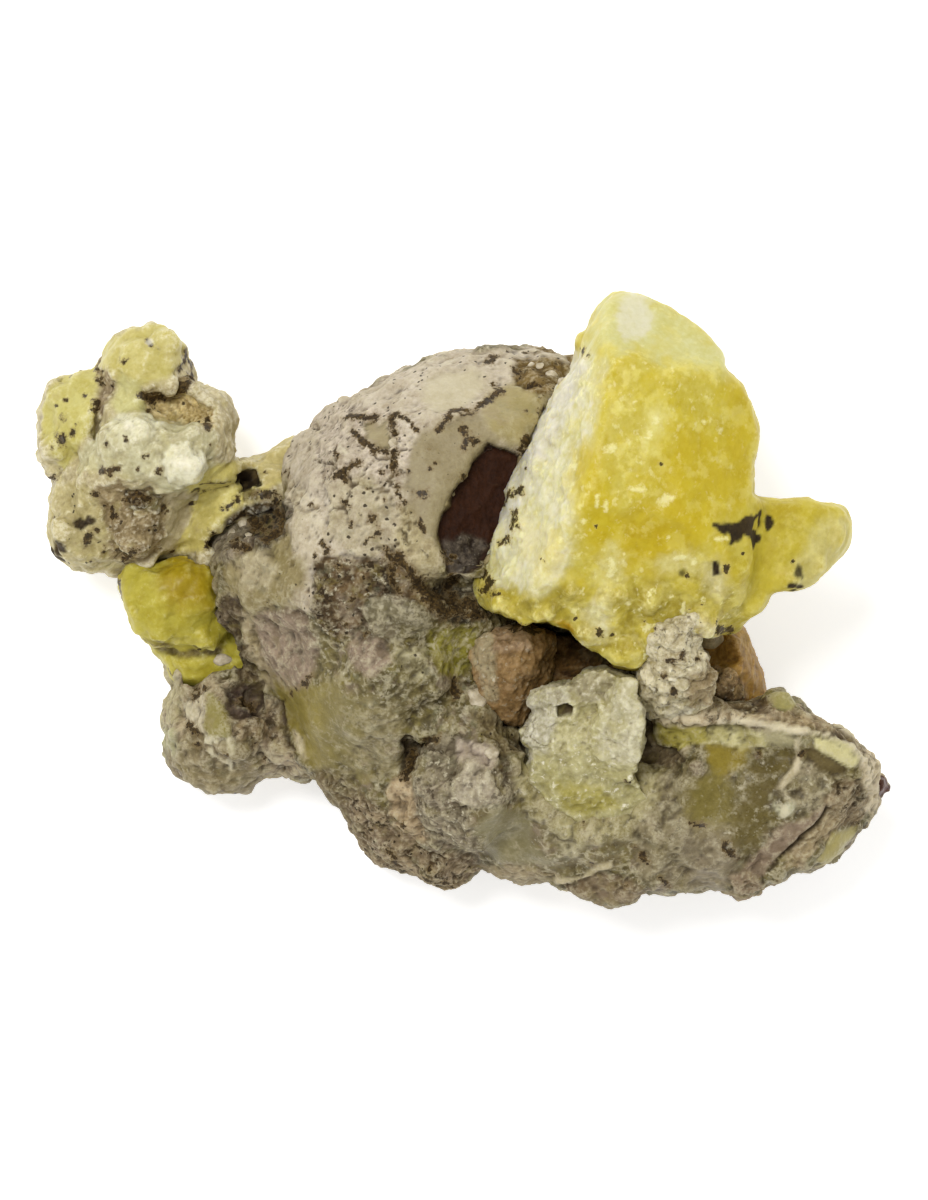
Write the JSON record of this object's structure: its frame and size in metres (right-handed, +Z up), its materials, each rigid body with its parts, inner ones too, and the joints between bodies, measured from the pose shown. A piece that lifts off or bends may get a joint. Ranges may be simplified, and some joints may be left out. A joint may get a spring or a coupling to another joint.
{
  "type": "brucite mineral specimen",
  "caption": "Hand-sized mineral specimen: translucent yellow brucite crystals on a tan crusted host rock with a dark chromite patch, lying on a flat break.",
  "frame": {"origin": "middle of the specimen's outline, on the flat break that it lies on", "axes": "+X along the longest side towards the tapering end of the rock, +Y across towards the rounded top of the big yellow crystal, +Z up"},
  "size_m": [0.0848, 0.0622, 0.0428],
  "materials": {
    "tan_rock": "dull cream to grey-brown crust with dark specks and greenish crystalline patches",
    "yellow_brucite": "waxy translucent yellow with paler cleaved faces",
    "pale_brucite": "waxy pale lemon with cream patches and dark specks",
    "olive_brucite": "waxy olive yellow with an amber centre",
    "green_brucite": "waxy pale green with a cream crust",
    "cream_brucite": "granular cream white",
    "brown_calcite": "iron-stained brown, slightly waxy",
    "dark_chromite": "dark red-brown, dull metallic grain"
  },
  "bodies": {
    "root": {"host_rock": "tan_rock", "main_brucite": "yellow_brucite", "left_brucite": "pale_brucite", "brucite_knob": "olive_brucite", "pale_brucite_blade": "green_brucite", "cream_brucite_column": "cream_brucite", "calcite_grain": "brown_calcite", "calcite_splinter": "brown_calcite", "chromite": "dark_chromite"}
  },
  "joints": []
}
